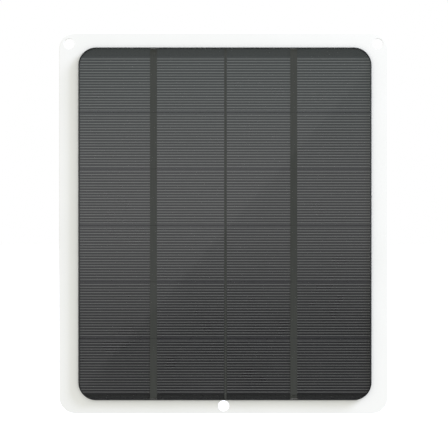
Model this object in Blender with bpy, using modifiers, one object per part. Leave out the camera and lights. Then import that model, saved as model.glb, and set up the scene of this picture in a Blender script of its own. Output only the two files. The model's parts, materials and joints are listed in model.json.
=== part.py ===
"""Flexible solar sheet.

A thin white carrier with three punched holes holds a raised black laminate of twelve solar cells on
its front and a small USB output box on its back. Everything is in metres. X runs across the sheet,
Z up it and Y from its front to its back. The origin is midway between the two top holes, on the
carrier's rear face.

The sheet bends. Its layers are split at one gap between cell rows, and the part below that gap turns
about the sheet_flex empty. The box's dust cover turns about the port_cover_hinge empty.
"""

import math

import bmesh
import bpy

# The carrier sheet and its punched holes.
SHEET_W = 0.1782
SHEET_H = 0.2060
SHEET_CORNER = 0.0090
HOLE_R = 0.0029
HOLE_X = 0.0835
TOP_HOLE_INSET = 0.0058
BOTTOM_HOLE_INSET = 0.0041

# The laminate stuck on its front, and the cells in it.
LAMINATE_W = 0.1584
LAMINATE_H = 0.1906
LAMINATE_CORNER = 0.0096
LAMINATE_SHIFT_X = 0.0007
LAMINATE_SHIFT_Z = -0.0003
SEAL_W = 0.00035
LAYER_INSET = 0.00045
REAR_LAYER_END_INSET = 0.00095
ROWS = 6
ROW_PITCH = 0.0305
CELL_H = 0.0302
CELL_EDGE_INSET = 0.0005
COLUMN_GAP = 0.0012
CELLS_SHIFT_X = 0.0010
CELLS_SHIFT_Z = -0.0012

# Ribbons: one over each column of cells, a link at the bottom and two leads at the top.
RIBBON_X = 0.0379
RIBBON_W = 0.0037
RIBBON_T = 0.0001
RIBBON_END_INSET = 0.0010
BUS_W = 0.0030
EDGE_JOG_INSET = 0.0007
WIRE_X = 0.0040
WIRE_R = 0.0006
WIRE_PROUD = 0.0008

# Each layer from its front face to its rear face, along Y.
FILM = (-0.00255, -0.00235)
FRONT_LAYER = (-0.00230, -0.00205)
FRONT_RIBBONS = (-0.00200, -0.00190)
CELLS = (-0.00185, -0.00165)
REAR_RIBBONS = (-0.00160, -0.00150)
REAR_LAYER = (-0.00145, -0.00120)
LINKS = (-0.00115, -0.00105)
SEAL = (-0.00230, -0.00105)
CARRIER = (-0.00100, 0.0)
LAYER_GAP = 0.00005

# The bend: the row gap where the layers are split, and how wide the split is.
ROWS_ABOVE_FLEX = 4
FLEX_GAP = 0.0005

# The output box on the back.
BOX_W = 0.062
BOX_H = 0.038
BOX_CORNER = 0.0040
BOX_RISE = 0.0640
BOX_PAD = (0.00005, 0.00095)
BOX_PAD_INSET = 0.0006
BOX_BASE = (0.0010, 0.0120)
BOX_FLOOR = 0.0015
BOX_WALL = 0.0018
BOX_SEAL = (0.01205, 0.01255)
BOX_SEAL_INSET = 0.0002
BOX_LID = (0.0126, 0.0144)
LID_BEVEL = 0.0005
PANEL_INSET_X = 0.0105
PANEL_INSET_Z = 0.0085
PANEL_CORNER = 0.0020
PANEL_DEPTH = 0.0003
POST_INSET = 0.0050
POST_R = 0.0031
PILOT_R = 0.0013
PILOT_DEPTH = 0.0070
SLOT_W = 0.0120
SLOT_H = 0.0036
SLOT_RISE = 0.0090
RAIL_X = 0.0180
RAIL_W = 0.0020
RAIL_END_INSET = 0.0010
BOARD = (0.0033, 0.0043)
BOARD_W = 0.0450
BOARD_SPAN = (-0.0165, 0.0120)
BOARD_CORNER = 0.0010
BOARD_HOLE_R = 0.0009

# Its screws, USB socket and electronics.
SCREW_R = 0.0010
SCREW_LENGTH = 0.0072
HEAD_R = 0.0025
HEAD_H = 0.0011
HEAD_PROFILE = ((0.72, 1.0), (0.93, 0.75), (1.0, 0.3), (1.0, 0.0))
HEAD_SEAT = 0.0132
COUNTERBORE_R = 0.0029
RECESS_W = 0.0006
RECESS_SPAN = 0.0027
RECESS_FLOOR = 0.0005
SOCKET_W = 0.0131
SOCKET_T = 0.0057
SOCKET_DEPTH = 0.0137
SOCKET_WALL = 0.00035
SOCKET_CORNER = 0.0006
SOCKET_FIT = 0.0001
SOCKET_Y = 0.00735
PORT_GAP = 0.0003
TONGUE_W = 0.0111
TONGUE_T = 0.0018
TONGUE_BLOCK = 0.0035
TONGUE_INSET = 0.0012
TONGUE_SHIFT_Y = 0.0008

# What stands on the board: each one's middle in X, its middle above the box's middle, and its size.
CHIP = (0.0113, 0.00095, (0.0050, 0.0016, 0.0039))
DIODE = (-0.01245, 0.0081, (0.0043, 0.0022, 0.0026))
CHIP_BEVEL = 0.0002
INDUCTOR = (0.0140, -0.0085)
INDUCTOR_PROFILE = (
    (0, 0.0042), (0.0034, 0.0042), (0.0034, 0.0033), (0.0029, 0.0031),
    (0.0029, 0.0012), (0.0034, 0.0010), (0.0034, 0), (0, 0),
)
CAPACITOR = (-0.0125, -0.0050)
CAPACITOR_PROFILE = (
    (0, 0.0062), (0.0027, 0.0062), (0.0031, 0.0058), (0.0031, 0.0014),
    (0.0028, 0.0012), (0.0028, 0.0009), (0.0031, 0.0007), (0.0031, 0), (0, 0),
)

# The dust cover below the socket and its hinge.
HINGE_Y = 0.0105
HINGE_DROP = 0.0016
LUG_X = (0.0096, 0.0114)
LUG_R = 0.0013
PIN_R = 0.0006
PIN_BORE_R = 0.0007
COVER_HALF_W = 0.0093
COVER_T = 0.0012
COVER_RAISE = 0.0004
COVER_END_Y = 0.0028
COVER_TAB_HALF_W = 0.0040
COVER_TAB_END_Y = 0.0014

# How far a joined piece runs into its neighbour, and how far a cutter runs past what it cuts.
OVERLAP = 0.0005
PAST = 0.0010

ARC_STEPS = 10
HOLE_STEPS = 48
ROUND_STEPS = 24
WELD = 0.000001

# Heights that follow from the sizes above.
SHEET_TOP = TOP_HOLE_INSET
SHEET_Z = SHEET_TOP - SHEET_H / 2
SHEET_BOTTOM = SHEET_TOP - SHEET_H
LAMINATE_Z = SHEET_Z + LAMINATE_SHIFT_Z
LAMINATE_TOP = LAMINATE_Z + LAMINATE_H / 2
LAMINATE_BOTTOM = LAMINATE_Z - LAMINATE_H / 2
FIRST_ROW_Z = SHEET_Z + CELLS_SHIFT_Z + ROW_PITCH * (ROWS - 1) / 2
FLEX_Z = FIRST_ROW_Z - ROW_PITCH * (ROWS_ABOVE_FLEX - 0.5)
FLEX_Y = (FILM[0] + CARRIER[1]) / 2
BOX_Z = SHEET_Z + BOX_RISE
BOX_BOTTOM = BOX_Z - BOX_H / 2
SLOT_Z = BOX_Z + SLOT_RISE
HINGE_Z = BOX_BOTTOM - HINGE_DROP


def clear_scene():
    """Removes whatever the new file holds."""
    for item in list(bpy.data.objects):
        bpy.data.objects.remove(item)


def collection(name):
    """A new collection in the scene."""
    group = bpy.data.collections.new(name)
    bpy.context.scene.collection.children.link(group)
    return group


def material(name, colour, roughness, metallic=0.0):
    """A Principled material with one colour."""
    made = bpy.data.materials.new(name)
    made.use_nodes = True
    shader = made.node_tree.nodes["Principled BSDF"]
    shader.inputs["Base Color"].default_value = (*colour, 1.0)
    shader.inputs["Roughness"].default_value = roughness
    shader.inputs["Metallic"].default_value = metallic
    return made


clear_scene()
PARTS = collection("flexible_solar_sheet")
CUTTERS = collection("cutters")

WHITE_BOARD = material("white_board", (0.86, 0.87, 0.87), 0.45)
CLEAR_FILM = material("clear_film", (0.10, 0.10, 0.11), 0.12)
CLEAR_LAYER = material("clear_layer", (0.12, 0.12, 0.12), 0.3)
BLACK_LAYER = material("black_layer", (0.03, 0.03, 0.03), 0.5)
BLACK_SEAL = material("black_seal", (0.04, 0.04, 0.04), 0.4)
SILICON = material("silicon", (0.05, 0.05, 0.06), 0.35)
RIBBON = material("ribbon", (0.30, 0.30, 0.31), 0.35, 1.0)
FOAM = material("foam_tape", (0.75, 0.75, 0.74), 0.9)
BOX_PLASTIC = material("box_plastic", (0.035, 0.035, 0.038), 0.45)
RUBBER = material("rubber", (0.05, 0.05, 0.05), 0.7)
STEEL = material("steel", (0.62, 0.62, 0.63), 0.3, 1.0)
CIRCUIT = material("circuit_board", (0.02, 0.16, 0.06), 0.4)
WHITE_PLASTIC = material("white_plastic", (0.80, 0.80, 0.78), 0.4)
CHIP_PLASTIC = material("chip_plastic", (0.03, 0.03, 0.03), 0.5)
FERRITE = material("ferrite", (0.08, 0.08, 0.09), 0.6)
CAN_METAL = material("can_metal", (0.70, 0.70, 0.72), 0.35, 1.0)
WIRE_SLEEVE_RED = material("wire_sleeve_red", (0.55, 0.03, 0.03), 0.5)
WIRE_SLEEVE_BLACK = material("wire_sleeve_black", (0.03, 0.03, 0.03), 0.5)


def empty(name, location):
    """An empty that moving pieces are parented to."""
    holder = bpy.data.objects.new(name, None)
    holder.location = location
    PARTS.objects.link(holder)
    return holder


def hang(pieces, holder):
    """Parents pieces to an empty and leaves them where they are."""
    bpy.context.view_layer.update()
    for piece in pieces:
        piece.parent = holder
        piece.matrix_parent_inverse = holder.matrix_world.inverted()


def arc(cx, cz, radius, start, end, steps):
    """Points along an arc, in degrees from +X towards +Z, both ends included."""
    points = []
    for i in range(steps + 1):
        angle = math.radians(start + (end - start) * i / steps)
        points.append((cx + radius * math.cos(angle), cz + radius * math.sin(angle)))
    return points


def circle(cx, cz, radius, steps=HOLE_STEPS):
    """A closed circle."""
    return arc(cx, cz, radius, 0, 360, steps)[:-1]


def rectangle(left, right, bottom, top):
    """A closed rectangle."""
    return [(left, bottom), (right, bottom), (right, top), (left, top)]


def rounded(left, right, bottom, top, low_r, high_r):
    """A closed rectangle whose two lower and two upper corners are rounded. A radius of 0 is square."""
    corners = [
        (left, bottom, 1, 1, low_r, 180),
        (right, bottom, -1, 1, low_r, 270),
        (right, top, -1, -1, high_r, 0),
        (left, top, 1, -1, high_r, 90),
    ]
    points = []
    for x, z, inward_x, inward_z, radius, start in corners:
        if radius == 0:
            points.append((x, z))
        else:
            centre_x = x + inward_x * radius
            centre_z = z + inward_z * radius
            points += arc(centre_x, centre_z, radius, start, start + 90, ARC_STEPS)
    return points


def laminate_outline(inset, end_inset, upper):
    """The upper or lower part of the laminate's outline, inset at its sides and at its end."""
    left = LAMINATE_SHIFT_X - LAMINATE_W / 2 + inset
    right = LAMINATE_SHIFT_X + LAMINATE_W / 2 - inset
    radius = LAMINATE_CORNER - inset
    if upper:
        return rounded(left, right, FLEX_Z + FLEX_GAP / 2, LAMINATE_TOP - end_inset, 0, radius)
    return rounded(left, right, LAMINATE_BOTTOM + end_inset, FLEX_Z - FLEX_GAP / 2, radius, 0)


def flat_curve(name, loops, thickness, finish):
    """An extruded 2D curve that is filled between its loops."""
    curve = bpy.data.curves.new(name, "CURVE")
    curve.dimensions = "2D"
    curve.fill_mode = "BOTH"
    curve.extrude = thickness / 2
    for loop in loops:
        spline = curve.splines.new("POLY")
        spline.points.add(len(loop) - 1)
        for point, (u, v) in zip(spline.points, loop):
            point.co = (u, v, 0, 1)
        spline.use_cyclic_u = True
    curve.materials.append(finish)
    piece = bpy.data.objects.new(name, curve)
    PARTS.objects.link(piece)
    return piece


def plate(name, loops, span, finish):
    """A flat layer: loops in X and Z, and its front and rear faces along Y."""
    piece = flat_curve(name, loops, span[1] - span[0], finish)
    piece.rotation_euler = (math.pi / 2, 0, 0)
    piece.location = (0, (span[0] + span[1]) / 2, 0)
    return piece


def folded_strip(name, loop, centre_x, width, finish):
    """A folded ribbon: its thin side outline in Y and Z, extruded across its width."""
    piece = flat_curve(name, [loop], width, finish)
    piece.rotation_euler = (math.pi / 2, 0, math.pi / 2)
    piece.location = (centre_x, 0, 0)
    return piece


def as_mesh(piece):
    """Replaces a curve by its mesh, with its caps welded on, so that it can be cut."""
    bpy.context.view_layer.update()
    graph = bpy.context.evaluated_depsgraph_get()
    mesh = bpy.data.meshes.new_from_object(piece.evaluated_get(graph), depsgraph=graph)
    shape = bmesh.new()
    shape.from_mesh(mesh)
    bmesh.ops.remove_doubles(shape, verts=shape.verts, dist=WELD)
    shape.to_mesh(mesh)
    shape.free()
    name, matrix = piece.name, piece.matrix_world.copy()
    bpy.data.objects.remove(piece)
    solid = bpy.data.objects.new(name, mesh)
    solid.matrix_world = matrix
    PARTS.objects.link(solid)
    return solid


def mesh_object(name, shape, finish, location):
    """An object from a bmesh, which it frees."""
    mesh = bpy.data.meshes.new(name)
    shape.to_mesh(mesh)
    shape.free()
    mesh.materials.append(finish)
    piece = bpy.data.objects.new(name, mesh)
    piece.location = location
    PARTS.objects.link(piece)
    return piece


def block(name, low, high, finish):
    """A box between two corners."""
    shape = bmesh.new()
    bmesh.ops.create_cube(shape, size=1)
    sides = [b - a for a, b in zip(low, high)]
    bmesh.ops.scale(shape, vec=sides, verts=shape.verts)
    return mesh_object(name, shape, finish, [(a + b) / 2 for a, b in zip(low, high)])


def rod(name, centre, radius, length, direction, finish, steps=ROUND_STEPS):
    """A cylinder along X, Y or Z."""
    shape = bmesh.new()
    bmesh.ops.create_cone(
        shape, cap_ends=True, segments=steps, radius1=radius, radius2=radius, depth=length
    )
    piece = mesh_object(name, shape, finish, centre)
    turns = {"X": (0, math.pi / 2, 0), "Y": (math.pi / 2, 0, 0), "Z": (0, 0, 0)}
    piece.rotation_euler = turns[direction]
    round_off(piece)
    return piece


def turned(name, profile, location, finish):
    """A turned piece on the Y axis. The profile is radius and Y, from its rear end to its front end."""
    shape = bmesh.new()
    previous = None
    for radius, y in profile:
        vertex = shape.verts.new((radius, y, 0))
        if previous:
            shape.edges.new((previous, vertex))
        previous = vertex
    piece = mesh_object(name, shape, finish, location)
    screw = piece.modifiers.new("turn", "SCREW")
    screw.axis = "Y"
    screw.steps = ROUND_STEPS
    screw.render_steps = ROUND_STEPS
    screw.use_merge_vertices = True
    screw.merge_threshold = WELD
    return piece


def round_off(piece):
    """Smooth shading on round faces and sharp edges elsewhere."""
    piece.data.shade_smooth()
    piece.data.set_sharp_from_angle(angle=math.radians(40))


def bevel(piece, width, segments=2):
    """Rounds the piece's sharp edges."""
    edge = piece.modifiers.new("rounded_edges", "BEVEL")
    edge.width = width
    edge.segments = segments
    edge.limit_method = "ANGLE"
    edge.angle_limit = math.radians(40)


def combine(piece, tool, operation):
    """Cuts the piece by a tool, or joins the tool to it, and puts the tool with the cutters."""
    step = piece.modifiers.new(tool.name, "BOOLEAN")
    step.operation = operation
    step.solver = "EXACT"
    step.object = tool
    PARTS.objects.unlink(tool)
    CUTTERS.objects.link(tool)
    tool.hide_render = True
    tool.display_type = "WIRE"


def cut(piece, *tools):
    """Cuts each tool's shape out of the piece."""
    for tool in tools:
        combine(piece, tool, "DIFFERENCE")


def join(piece, *tools):
    """Adds each tool's shape to the piece."""
    for tool in tools:
        combine(piece, tool, "UNION")


def carrier():
    """The white sheet in two halves, with its holes and the slot for the leads."""
    left, right = -SHEET_W / 2, SHEET_W / 2
    top_holes = [circle(x, 0, HOLE_R) for x in (-HOLE_X, HOLE_X)]
    bottom_hole = circle(0, SHEET_BOTTOM + BOTTOM_HOLE_INSET, HOLE_R)
    upper = rounded(left, right, FLEX_Z + FLEX_GAP / 2, SHEET_TOP, 0, SHEET_CORNER)
    lower = rounded(left, right, SHEET_BOTTOM, FLEX_Z - FLEX_GAP / 2, SHEET_CORNER, 0)
    plate("carrier_upper", [upper, *top_holes, slot_loop()], CARRIER, WHITE_BOARD)
    return [plate("carrier_lower", [lower, bottom_hole], CARRIER, WHITE_BOARD)]


def laminate_layers():
    """The film, the clear and black layers and the edge seal, each in two halves."""
    lower_pieces = []
    for half, upper in (("upper", True), ("lower", False)):
        outer = laminate_outline(0, 0, upper)
        inner = laminate_outline(LAYER_INSET, LAYER_INSET, upper)
        rear = laminate_outline(LAYER_INSET, REAR_LAYER_END_INSET, upper)
        pieces = [
            plate("front_film_" + half, [outer], FILM, CLEAR_FILM),
            plate("clear_layer_" + half, [inner], FRONT_LAYER, CLEAR_LAYER),
            plate("black_layer_" + half, [rear], REAR_LAYER, BLACK_LAYER),
            plate("edge_seal_" + half, [seal_outline(upper)], SEAL, BLACK_SEAL),
        ]
        if not upper:
            lower_pieces += pieces
    return lower_pieces


def seal_outline(upper):
    """A U-shaped strip along the laminate's edge, open at the bend."""
    outer = laminate_outline(0, 0, upper)
    inner = laminate_outline(SEAL_W, SEAL_W, upper)
    if upper:
        # The outline starts at the bend with its two square corners, so the strip begins at its second.
        return outer[1:] + outer[:1] + inner[:1] + list(reversed(inner[1:]))
    return outer[-1:] + outer[:-1] + list(reversed(inner[:-1])) + inner[-1:]


def row_z(row):
    """The middle height of a row of cells, counted from the top."""
    return FIRST_ROW_Z - ROW_PITCH * row


def cells():
    """Twelve thin cells in two columns. Those at the corners follow the laminate's outline."""
    lower_pieces = []
    reach = LAMINATE_W / 2 - CELL_EDGE_INSET
    columns = (
        ("left", LAMINATE_SHIFT_X - reach, CELLS_SHIFT_X - COLUMN_GAP / 2),
        ("right", CELLS_SHIFT_X + COLUMN_GAP / 2, LAMINATE_SHIFT_X + reach),
    )
    for side, left, right in columns:
        for row in range(ROWS):
            z = row_z(row)
            outline = rectangle(left, right, z - CELL_H / 2, z + CELL_H / 2)
            name = f"cell_{side}_{row + 1}"
            piece = plate(name, [outline], CELLS, SILICON)
            if row in (0, ROWS - 1):
                piece = as_mesh(piece)
                trim_to_laminate(piece, row == 0)
            if row >= ROWS_ABOVE_FLEX:
                lower_pieces.append(piece)
    return lower_pieces


def trim_to_laminate(piece, upper):
    """Keeps the part of a cell that lies inside the laminate's rounded outline."""
    outline = laminate_outline(LAYER_INSET, LAYER_INSET, upper)
    span = (CELLS[0] - LAYER_GAP, CELLS[1] + LAYER_GAP)
    combine(piece, as_mesh(plate(piece.name + "_trim", [outline], span, SILICON)), "INTERSECT")


def straight_ribbon(name, x, span, low, high):
    """A flat stretch of ribbon that doesn't change level."""
    outline = [(span[0], low), (span[1], low), (span[1], high), (span[0], high)]
    return folded_strip(name, outline, x, RIBBON_W, RIBBON)


def stepped_ribbon(name, x, upper_span, lower_span, top, bottom, step_z):
    """A ribbon on one face of the cell above and on the other face of the cell below.

    It changes level in the gap between them, in a step as thick as the ribbon.
    """
    high, low = step_z + RIBBON_T / 2, step_z - RIBBON_T / 2
    if upper_span[0] < lower_span[0]:
        outline = [
            (upper_span[0], top), (upper_span[0], low), (lower_span[0], low),
            (lower_span[0], bottom), (lower_span[1], bottom), (lower_span[1], high),
            (upper_span[1], high), (upper_span[1], top),
        ]
    else:
        outline = [
            (upper_span[1], top), (upper_span[1], low), (lower_span[1], low),
            (lower_span[1], bottom), (lower_span[0], bottom), (lower_span[0], high),
            (upper_span[0], high), (upper_span[0], top),
        ]
    return folded_strip(name, outline, x, RIBBON_W, RIBBON)


def end_ribbon(name, x, span, cell_end, jog_z):
    """A ribbon that runs past its cell's end and turns back there to a link behind the black layer."""
    sign = 1 if jog_z > cell_end else -1
    near, far = jog_z - sign * RIBBON_T, jog_z
    back = LINKS[0] - LAYER_GAP
    outline = [
        (span[0], cell_end), (span[0], far), (back, far),
        (back, near), (span[1], near), (span[1], cell_end),
    ]
    return folded_strip(name, outline, x, RIBBON_W, RIBBON)


def ribbons():
    """The two strings of ribbon. On the left, each joins a cell's front to the next cell's back,
    and on the right a cell's back to the next cell's front, so that the strings run in series."""
    lower_pieces = []
    inset = CELL_H / 2 - RIBBON_END_INSET
    top_jog = LAMINATE_TOP - EDGE_JOG_INSET
    bottom_jog = LAMINATE_BOTTOM + EDGE_JOG_INSET
    sides = (
        ("left", -RIBBON_X, FRONT_RIBBONS, REAR_RIBBONS),
        ("right", RIBBON_X, REAR_RIBBONS, FRONT_RIBBONS),
    )
    for side, x, above, below in sides:
        first_end = row_z(0) - inset
        end_ribbon(f"ribbon_{side}_top", x, below, first_end, top_jog)
        for row in range(ROWS - 1):
            top, bottom = row_z(row) + inset, row_z(row + 1) - inset
            if above[0] > below[0] and row == ROWS - 2:
                bottom = bottom_jog - RIBBON_T
            gap_z = row_z(row + 0.5)
            name = f"ribbon_{side}_{row + 1}"
            if row == ROWS_ABOVE_FLEX - 1:
                straight_ribbon(name + "_above", x, above, FLEX_Z + FLEX_GAP / 2, top)
                piece = straight_ribbon(name + "_below", x, below, bottom, FLEX_Z - FLEX_GAP / 2)
                lower_pieces.append(piece)
                continue
            piece = stepped_ribbon(name, x, above, below, top, bottom, gap_z)
            if row >= ROWS_ABOVE_FLEX:
                lower_pieces.append(piece)
        last_end = row_z(ROWS - 1) + inset
        piece = end_ribbon(f"ribbon_{side}_bottom", x, above, last_end, bottom_jog)
        lower_pieces.append(piece)
    return lower_pieces


def links():
    """The ribbon that joins the two strings at the bottom, and the two leads at the top."""
    reach = RIBBON_X + RIBBON_W / 2
    low = LAMINATE_BOTTOM + EDGE_JOG_INSET - RIBBON_T / 2
    string_link = plate(
        "string_link", [rectangle(-reach, reach, low, low + BUS_W)], LINKS, RIBBON
    )
    high = LAMINATE_TOP - EDGE_JOG_INSET + RIBBON_T / 2
    inner, outer = WIRE_X - BUS_W / 2, WIRE_X + BUS_W / 2
    end = SLOT_Z - SLOT_H / 2
    for name, sign in (("positive_lead", -1), ("negative_lead", 1)):
        outline = [
            (sign * inner, high), (sign * reach, high), (sign * reach, high - BUS_W),
            (sign * outer, high - BUS_W), (sign * outer, end), (sign * inner, end),
        ]
        plate(name, [outline], LINKS, RIBBON)
    return [string_link]


def box_outline(inset):
    """The box's rounded outline."""
    x, z = BOX_W / 2 - inset, BOX_H / 2 - inset
    radius = BOX_CORNER - inset
    return rounded(-x, x, BOX_Z - z, BOX_Z + z, radius, radius)


def post_places():
    """The four corner posts' centres."""
    x, z = BOX_W / 2 - POST_INSET, BOX_H / 2 - POST_INSET
    return [(-x, BOX_Z + z), (x, BOX_Z + z), (-x, BOX_Z - z), (x, BOX_Z - z)]


def slot_loop():
    """The slot that the two lead wires come through."""
    return rectangle(-SLOT_W / 2, SLOT_W / 2, SLOT_Z - SLOT_H / 2, SLOT_Z + SLOT_H / 2)


def box_base():
    """The tray: floor, walls, screw posts, board rails, port opening and hinge lugs."""
    base = as_mesh(plate("box_base", [box_outline(0), slot_loop()], BOX_BASE, BOX_PLASTIC))
    floor = BOX_BASE[0] + BOX_FLOOR
    inside = (floor, BOX_BASE[1] + PAST)
    cut(base, as_mesh(plate("box_cavity", [box_outline(BOX_WALL)], inside, BOX_PLASTIC)))
    for i, (x, z) in enumerate(post_places()):
        length = BOX_BASE[1] - floor + OVERLAP
        middle = BOX_BASE[1] - length / 2
        join(base, rod(f"post_{i}", (x, middle, z), POST_R, length, "Y", BOX_PLASTIC))
        pilot_y = BOX_BASE[1] + OVERLAP - PILOT_DEPTH / 2
        cut(base, rod(f"pilot_{i}", (x, pilot_y, z), PILOT_R, PILOT_DEPTH, "Y", BOX_PLASTIC))
    for i, x in enumerate((-RAIL_X, RAIL_X)):
        low = (x - RAIL_W / 2, floor - OVERLAP, BOX_Z + BOARD_SPAN[0] + RAIL_END_INSET)
        high = (x + RAIL_W / 2, BOARD[0] - LAYER_GAP, BOX_Z + BOARD_SPAN[1] - RAIL_END_INSET)
        join(base, block(f"rail_{i}", low, high, BOX_PLASTIC))
    cut(base, port_opening())
    for i, sign in enumerate((-1, 1)):
        join(base, hinge_lug(i, sign))
    hole_length = 2 * (LUG_X[1] + PAST)
    cut(base, rod("pin_hole", (0, HINGE_Y, HINGE_Z), PIN_BORE_R, hole_length, "X", BOX_PLASTIC))
    return base


def port_opening():
    """The opening for the USB socket in the box's lower wall."""
    x = SOCKET_W / 2 + PORT_GAP
    y = SOCKET_T / 2 + PORT_GAP
    low = (-x, SOCKET_Y - y, BOX_BOTTOM - PAST)
    high = (x, SOCKET_Y + y, BOX_BOTTOM + BOX_WALL + PAST)
    return block("port_opening", low, high, BOX_PLASTIC)


def hinge_lug(i, sign):
    """One of the two lugs below the box that hold the dust cover's pin."""
    middle = sign * (LUG_X[0] + LUG_X[1]) / 2
    outline = arc(HINGE_Y, HINGE_Z, LUG_R, 180, 360, ARC_STEPS)
    outline += [(HINGE_Y + LUG_R, BOX_BOTTOM + OVERLAP), (HINGE_Y - LUG_R, BOX_BOTTOM + OVERLAP)]
    return as_mesh(folded_strip(f"lug_{i}", outline, middle, LUG_X[1] - LUG_X[0], BOX_PLASTIC))


def box_shells():
    """The adhesive pad, the seal and the lid, with the base between them."""
    plate("box_adhesive_pad", [box_outline(BOX_PAD_INSET), slot_loop()], BOX_PAD, FOAM)
    box_base()
    seal_loops = [box_outline(BOX_SEAL_INSET), box_outline(BOX_WALL - BOX_SEAL_INSET)]
    plate("box_seal", seal_loops, BOX_SEAL, RUBBER)
    box_lid()


def box_lid():
    """The lid, with a shallow plain panel sunk in its face and a seat for each screw."""
    lid = as_mesh(plate("box_lid", [box_outline(0)], BOX_LID, BOX_PLASTIC))
    bevel(lid, LID_BEVEL)
    through_span = (BOX_LID[0] - PAST, HEAD_SEAT + PAST)
    seat_span = (HEAD_SEAT, BOX_LID[1] + PAST)
    for i, (x, z) in enumerate(post_places()):
        for part, radius, span in (("hole", PILOT_R, through_span), ("seat", COUNTERBORE_R, seat_span)):
            middle, length = (span[0] + span[1]) / 2, span[1] - span[0]
            cut(lid, rod(f"lid_{part}_{i}", (x, middle, z), radius, length, "Y", BOX_PLASTIC))
    half_x, half_z = BOX_W / 2 - PANEL_INSET_X, BOX_H / 2 - PANEL_INSET_Z
    outline = rounded(-half_x, half_x, BOX_Z - half_z, BOX_Z + half_z, PANEL_CORNER, PANEL_CORNER)
    depth = (BOX_LID[1] - PANEL_DEPTH, BOX_LID[1] + PAST)
    cut(lid, as_mesh(plate("lid_panel", [outline], depth, BOX_PLASTIC)))


def lid_screws():
    """Four pan-head screws with a cross recess, from the lid into the posts."""
    seat = HEAD_SEAT + LAYER_GAP
    head = [(HEAD_R * out, HEAD_H * up) for out, up in HEAD_PROFILE]
    shank = [(SCREW_R, 0), (SCREW_R, -SCREW_LENGTH + SCREW_R), (0, -SCREW_LENGTH)]
    profile = [(0, HEAD_H), *head, *shank]
    for i, (x, z) in enumerate(post_places()):
        screw = turned(f"lid_screw_{i + 1}", profile, (x, seat, z), STEEL)
        low, high = RECESS_FLOOR, HEAD_H + PAST
        for part, (half_x, half_z) in enumerate(
            ((RECESS_SPAN / 2, RECESS_W / 2), (RECESS_W / 2, RECESS_SPAN / 2))
        ):
            corner_a = (x - half_x, seat + low, z - half_z)
            corner_b = (x + half_x, seat + high, z + half_z)
            cut(screw, block(f"recess_{i}_{part}", corner_a, corner_b, STEEL))


def circuit_board():
    """The board on its two rails, with a hole for each wire."""
    outline = rounded(
        -BOARD_W / 2, BOARD_W / 2, BOX_Z + BOARD_SPAN[0], BOX_Z + BOARD_SPAN[1],
        BOARD_CORNER, BOARD_CORNER,
    )
    holes = [circle(x, SLOT_Z, BOARD_HOLE_R, ROUND_STEPS) for x in (-WIRE_X, WIRE_X)]
    plate("circuit_board", [outline, *holes], BOARD, CIRCUIT)


def lead_wires():
    """Two short wires from the leads through the slot into the board."""
    start, end = LINKS[1] + LAYER_GAP, BOARD[1] + WIRE_PROUD
    wires = (
        ("positive_wire", -WIRE_X, WIRE_SLEEVE_RED),
        ("negative_wire", WIRE_X, WIRE_SLEEVE_BLACK),
    )
    for name, x, finish in wires:
        rod(name, (x, (start + end) / 2, SLOT_Z), WIRE_R, end - start, "Y", finish)


def usb_socket():
    """The socket's metal shell, and the insulator with its tongue. Its mouth faces down."""
    mouth = BOX_BOTTOM + PORT_GAP
    loops = []
    for inset in (0, SOCKET_WALL):
        x, y = SOCKET_W / 2 - inset, SOCKET_T / 2 - inset
        radius = SOCKET_CORNER - inset
        loops.append(rounded(-x, x, SOCKET_Y - y, SOCKET_Y + y, radius, radius))
    shell = flat_curve("usb_shell", loops, SOCKET_DEPTH, STEEL)
    shell.location = (0, 0, mouth + SOCKET_DEPTH / 2)
    inner_x = SOCKET_W / 2 - SOCKET_WALL - SOCKET_FIT
    inner_y = SOCKET_T / 2 - SOCKET_WALL - SOCKET_FIT
    back = mouth + SOCKET_DEPTH
    insulator = block(
        "usb_insulator",
        (-inner_x, SOCKET_Y - inner_y, back - TONGUE_BLOCK),
        (inner_x, SOCKET_Y + inner_y, back),
        WHITE_PLASTIC,
    )
    tongue_y = SOCKET_Y + TONGUE_SHIFT_Y
    tongue = block(
        "tongue",
        (-TONGUE_W / 2, tongue_y - TONGUE_T / 2, mouth + TONGUE_INSET),
        (TONGUE_W / 2, tongue_y + TONGUE_T / 2, back - TONGUE_BLOCK / 2),
        WHITE_PLASTIC,
    )
    join(insulator, tongue)


def electronics():
    """The regulator chip, inductor, capacitor and diode that stand on the board."""
    top = BOARD[1] + LAYER_GAP
    for name, (x, rise, size) in (("regulator_chip", CHIP), ("blocking_diode", DIODE)):
        low = (x - size[0] / 2, top, BOX_Z + rise - size[2] / 2)
        high = (x + size[0] / 2, top + size[1], BOX_Z + rise + size[2] / 2)
        bevel(block(name, low, high, CHIP_PLASTIC), CHIP_BEVEL, 1)
    inductor_x, inductor_rise = INDUCTOR
    turned("power_inductor", INDUCTOR_PROFILE, (inductor_x, top, BOX_Z + inductor_rise), FERRITE)
    capacitor_x, capacitor_rise = CAPACITOR
    place = (capacitor_x, top, BOX_Z + capacitor_rise)
    turned("smoothing_capacitor", CAPACITOR_PROFILE, place, CAN_METAL)


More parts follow.
